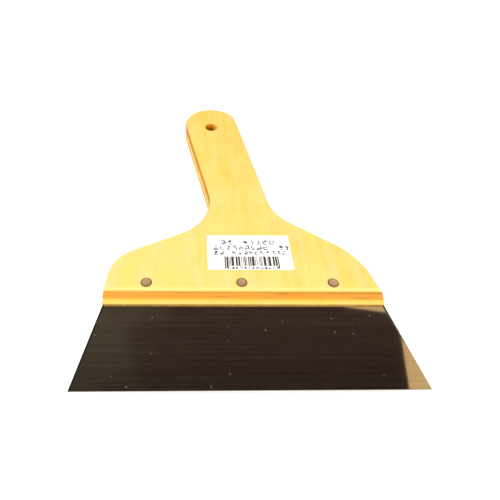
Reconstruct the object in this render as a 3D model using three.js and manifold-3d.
// Drywall taping knife: a stainless blade held in a saw kerf along the front of a flat plywood
// handle, and riveted through it. Millimetres. The tool lies on its back: +Y runs from the blade's
// working edge to the end of the grip, and +Z is up through the thickness of the board.
import * as THREE from "three";
import { mergeVertices } from "three/addons/utils/BufferGeometryUtils.js";
import Module from "manifold-3d";

// Every x and y below is measured from the middle of the blade's working edge.

// Blade
const EDGE_WIDTH = 150;
const EXPOSED_LENGTH = 42;
const WIDTH_AT_WOOD = 133.8;
const BLADE_THICK = 0.7;
const TANG_END = 60;
const TANG_END_WIDTH = 116;
const GRIND_LENGTH = 2.5;
const GRIND_EDGE_THICK = 0.35;

// Plywood board, its five plies listed from the back up
const PLIES = [
  { name: "ply_back_veneer", thick: 0.8, look: ["#e9cf7c", 0.55] },
  { name: "ply_back_cross", thick: 2.2, look: ["#c98a3c", 0.7] },
  { name: "ply_core", thick: 6.0, look: ["#dcb45a", 0.65] },
  { name: "ply_front_cross", thick: 2.2, look: ["#c98a3c", 0.7] },
  { name: "ply_front_veneer", thick: 0.8, look: ["#eed686", 0.5] },
];
const BOARD_THICK = PLIES.reduce((sum, ply) => sum + ply.thick, 0);
const MID_Z = BOARD_THICK / 2;
const EASE = 1.2; // radius that takes the sharpness off the handle's long edges

// Corners of the handle's outline, anticlockwise from the front left: x, y, and the radius that
// rounds the corner. The grip leans to the left and the right shoulder is the fuller one.
const OUTLINE = [
  [-66.9, EXPOSED_LENGTH, 0],
  [66.8, EXPOSED_LENGTH, 0],
  [59.5, 69.8, 37],
  [42.5, 82.3, 11],
  [19.2, 99.4, 27],
  [2.2, 205.9, 15.3],
  [-34.5, 209.4, 18.3],
  [-12, 93.8, 29.5],
  [-65, 67.2, 19],
];

// Front edge: bevelled from both faces down to a thin lip that grips the blade
const ARRIS_Y = 46.7;
const LIP = 1;
const KERF_END = 61;
const KERF_CLEARANCE = 0.05;

const HANG_HOLE = { x: -12.8, y: 184.1, radius: 4.2 };

// Rivets, in a nearly straight row across the board and through the blade
const RIVETS = [
  { side: "left", x: -46.9, y: 51.05 },
  { side: "middle", x: -1.6, y: 51.3 },
  { side: "right", x: 42.7, y: 51.3 },
];
const SHANK_RADIUS = 1.6;
const SHANK_HOLE_RADIUS = 1.7;
const HEAD_RADIUS = 2.7;
const HEAD_RIM = 0.12;
const HEAD_DOME = 0.5;
const BURR_RADIUS = 3.4;
const BURR_THICK = 0.7;
const BURR_POCKET_RADIUS = 3.6;
const BURR_POCKET_DEPTH = 1.5;
const PEEN_RADIUS = 2.3;
const PEEN_END_Z = 0.15;

// Price label stuck on the front face
const LABEL = { x: 3.65, y: 70.7, width: 42.8, height: 23.3, thick: 0.15, turn: 0.5 };
const LABEL_GLUE = 0.01;

const wasm = await Module();
wasm.setup();

// A three.js geometry as a manifold-3d solid.
function solidOf(geometry) {
  const bare = geometry.clone();
  bare.deleteAttribute("normal");
  bare.deleteAttribute("uv");
  const merged = mergeVertices(bare, 1e-4);
  return new wasm.Manifold(
    new wasm.Mesh({
      numProp: 3,
      vertProperties: merged.attributes.position.array,
      triVerts: new Uint32Array(merged.index.array),
    }),
  );
}

// A manifold-3d solid as a three.js geometry.
function geometryOf(made) {
  const mesh = made.getMesh();
  const geometry = new THREE.BufferGeometry();
  geometry.setAttribute("position", new THREE.BufferAttribute(mesh.vertProperties, 3));
  geometry.setIndex(new THREE.BufferAttribute(mesh.triVerts, 1));
  geometry.computeVertexNormals();
  return geometry;
}

function named(name, geometry, [color, roughness, metalness = 0]) {
  const material = new THREE.MeshStandardMaterial({ color, roughness, metalness });
  const mesh = new THREE.Mesh(geometry, material);
  mesh.name = name;
  return mesh;
}

// A closed outline whose corners are rounded by arcs tangent to both sides.
function roundedOutline(corners) {
  const shape = new THREE.Shape();
  corners.forEach(([x, y, radius], i) => {
    const corner = new THREE.Vector2(x, y);
    const before = new THREE.Vector2(...corners.at(i - 1)).sub(corner).normalize();
    const after = new THREE.Vector2(...corners[(i + 1) % corners.length]).sub(corner).normalize();
    const halfAngle = Math.acos(before.dot(after)) / 2;
    const leftTurn = before.cross(after) < 0;
    if (radius === 0) {
      if (i === 0) shape.moveTo(x, y);
      else shape.lineTo(x, y);
      return;
    }
    const middle = before.clone().add(after).setLength(radius / Math.sin(halfAngle)).add(corner);
    const reach = radius / Math.tan(halfAngle);
    const start = before.clone().multiplyScalar(reach).add(corner).sub(middle);
    const end = after.clone().multiplyScalar(reach).add(corner).sub(middle);
    shape.absarc(middle.x, middle.y, radius, start.angle(), end.angle(), !leftTurn);
  });
  shape.closePath();
  return shape;
}

// An upright cylinder between two heights.
function post(x, y, radius, lowZ, highZ, segments = 48) {
  const geometry = new THREE.CylinderGeometry(radius, radius, highZ - lowZ, segments);
  geometry.rotateX(Math.PI / 2);
  geometry.translate(x, y, (lowZ + highZ) / 2);
  return solidOf(geometry);
}

// A box that spans the full width of the board, between two y and two z values.
function bar(lowY, highY, lowZ, highZ) {
  const geometry = new THREE.BoxGeometry(200, highY - lowY, highZ - lowZ);
  geometry.translate(0, (lowY + highY) / 2, (lowZ + highZ) / 2);
  return solidOf(geometry);
}

// A full-width prism whose y-z cross-section is the given triangle or polygon.
function prism(section) {
  const shape = new THREE.Shape(section.map(([y, z]) => new THREE.Vector2(y, z)));
  const geometry = new THREE.ExtrudeGeometry(shape, { depth: 200, bevelEnabled: false });
  geometry.applyMatrix4(
    new THREE.Matrix4().makeBasis(
      new THREE.Vector3(0, 1, 0),
      new THREE.Vector3(0, 0, 1),
      new THREE.Vector3(1, 0, 0),
    ),
  );
  geometry.translate(-100, 0, 0);
  return solidOf(geometry);
}

// The wedge taken off the front edge of the board, above the blade or (side -1) below it.
function frontBevel(side) {
  const lipTop = BLADE_THICK / 2 + LIP;
  const run = ARRIS_Y - EXPOSED_LENGTH;
  const rise = MID_Z - lipTop;
  const low = [EXPOSED_LENGTH - run, MID_Z + side * (lipTop - rise)];
  const high = [ARRIS_Y + run, MID_Z + side * (MID_Z + rise)];
  return prism([low, high, [low[0], high[1]]]);
}

// The whole board before it is told apart into plies.
function board() {
  const geometry = new THREE.ExtrudeGeometry(roundedOutline(OUTLINE), {
    depth: BOARD_THICK - 2 * EASE,
    bevelThickness: EASE,
    bevelSize: EASE,
    bevelOffset: -EASE,
    bevelSegments: 5,
    curveSegments: 14,
  });
  geometry.translate(0, 0, EASE);
  const halfKerf = BLADE_THICK / 2 + KERF_CLEARANCE;
  let made = solidOf(geometry)
    .subtract(frontBevel(1))
    .subtract(frontBevel(-1))
    .subtract(bar(0, KERF_END, MID_Z - halfKerf, MID_Z + halfKerf))
    .subtract(post(HANG_HOLE.x, HANG_HOLE.y, HANG_HOLE.radius, -1, BOARD_THICK + 1));
  for (const { x, y } of RIVETS) {
    made = made
      .subtract(post(x, y, SHANK_HOLE_RADIUS, -1, BOARD_THICK + 1))
      .subtract(post(x, y, BURR_POCKET_RADIUS, -1, BURR_POCKET_DEPTH));
  }
  return made;
}

// One ply: the slice of the board that starts at the given height.
function ply(whole, { name, thick, look }, lowZ) {
  const slice = whole.intersect(bar(0, 250, lowZ, lowZ + thick));
  const geometry = geometryOf(slice).translate(0, 0, -lowZ);
  const mesh = named(name, geometry, look);
  mesh.position.z = lowZ;
  return mesh;
}

// The blade, with the tang that the kerf hides; its underside is ground thin at the working edge.
function blade() {
  const tangStart = EXPOSED_LENGTH + 1.5;
  const taper = (EDGE_WIDTH - WIDTH_AT_WOOD) / 2 / EXPOSED_LENGTH;
  const right = [
    [EDGE_WIDTH / 2, 0],
    [EDGE_WIDTH / 2 - taper * tangStart, tangStart],
    [TANG_END_WIDTH / 2, TANG_END],
  ];
  const left = right.map(([x, y]) => [-x, y]).reverse();
  const shape = new THREE.Shape([...right, ...left].map(([x, y]) => new THREE.Vector2(x, y)));
  const geometry = new THREE.ExtrudeGeometry(shape, { depth: BLADE_THICK, bevelEnabled: false });
  const grind = prism([
    [-1, -1],
    [GRIND_LENGTH, -1],
    [GRIND_LENGTH, 0],
    [0, BLADE_THICK - GRIND_EDGE_THICK],
    [-1, BLADE_THICK - GRIND_EDGE_THICK],
  ]);
  let made = solidOf(geometry).subtract(grind);
  for (const { x, y } of RIVETS) {
    made = made.subtract(post(x, y, SHANK_HOLE_RADIUS, -1, 2));
  }
  const mesh = named("blade", geometryOf(made), ["#8d8880", 0.25, 1]);
  mesh.position.z = MID_Z - BLADE_THICK / 2;
  return mesh;
}

// One rivet: a low domed head on the front, a shank, and an end peened over the burr at the back.
function rivet({ side, x, y }) {
  const profile = [
    [0, PEEN_END_Z],
    [PEEN_RADIUS * 0.7, PEEN_END_Z + 0.08],
    [PEEN_RADIUS, PEEN_END_Z + 0.35],
    [PEEN_RADIUS, BURR_POCKET_DEPTH - BURR_THICK],
    [SHANK_RADIUS, BURR_POCKET_DEPTH - BURR_THICK],
    [SHANK_RADIUS, BOARD_THICK],
    [HEAD_RADIUS, BOARD_THICK],
  ];
  const steps = 6;
  for (let i = 0; i <= steps; i += 1) {
    const angle = ((i / steps) * Math.PI) / 2;
    const radius = i === steps ? 0 : HEAD_RADIUS * Math.cos(angle);
    profile.push([radius, BOARD_THICK + HEAD_RIM + HEAD_DOME * Math.sin(angle)]);
  }
  const points = profile.map(([r, z]) => new THREE.Vector2(r, z));
  const geometry = new THREE.LatheGeometry(points, 40).rotateX(Math.PI / 2);
  const mesh = named(`rivet_${side}`, geometryOf(solidOf(geometry)), ["#b8a48e", 0.35, 1]);
  mesh.position.set(x, y, 0);
  return mesh;
}

// The small washer under the peened end of a rivet, sunk in the back of the board.
function burr({ side, x, y }) {
  const inner = SHANK_RADIUS + 0.05;
  const top = BURR_THICK;
  const points = [
    [inner, 0],
    [BURR_RADIUS, 0],
    [BURR_RADIUS, top],
    [inner, top],
    [inner, 0],
  ].map(([r, z]) => new THREE.Vector2(r, z));
  const geometry = new THREE.LatheGeometry(points, 40).rotateX(Math.PI / 2);
  const mesh = named(`burr_${side}`, geometryOf(solidOf(geometry)), ["#b8a48e", 0.4, 1]);
  mesh.position.set(x, y, BURR_POCKET_DEPTH - BURR_THICK);
  return mesh;
}

function priceLabel() {
  const geometry = new THREE.BoxGeometry(LABEL.width, LABEL.height, LABEL.thick);
  const mesh = named("price_label", geometry, ["#f7f7f4", 0.6]);
  mesh.position.set(LABEL.x, LABEL.y, BOARD_THICK + LABEL_GLUE + LABEL.thick / 2);
  mesh.rotation.z = THREE.MathUtils.degToRad(LABEL.turn);
  return mesh;
}

const knife = new THREE.Group();
knife.name = "drywall_taping_knife";
const whole = board();
let lowZ = 0;
for (const spec of PLIES) {
  knife.add(ply(whole, spec, lowZ));
  lowZ += spec.thick;
}
knife.add(blade(), ...RIVETS.map(rivet), ...RIVETS.map(burr), priceLabel());
const extent = new THREE.Box3().setFromObject(knife, true);
knife.position.y = -(extent.min.y + extent.max.y) / 2;

export default knife;
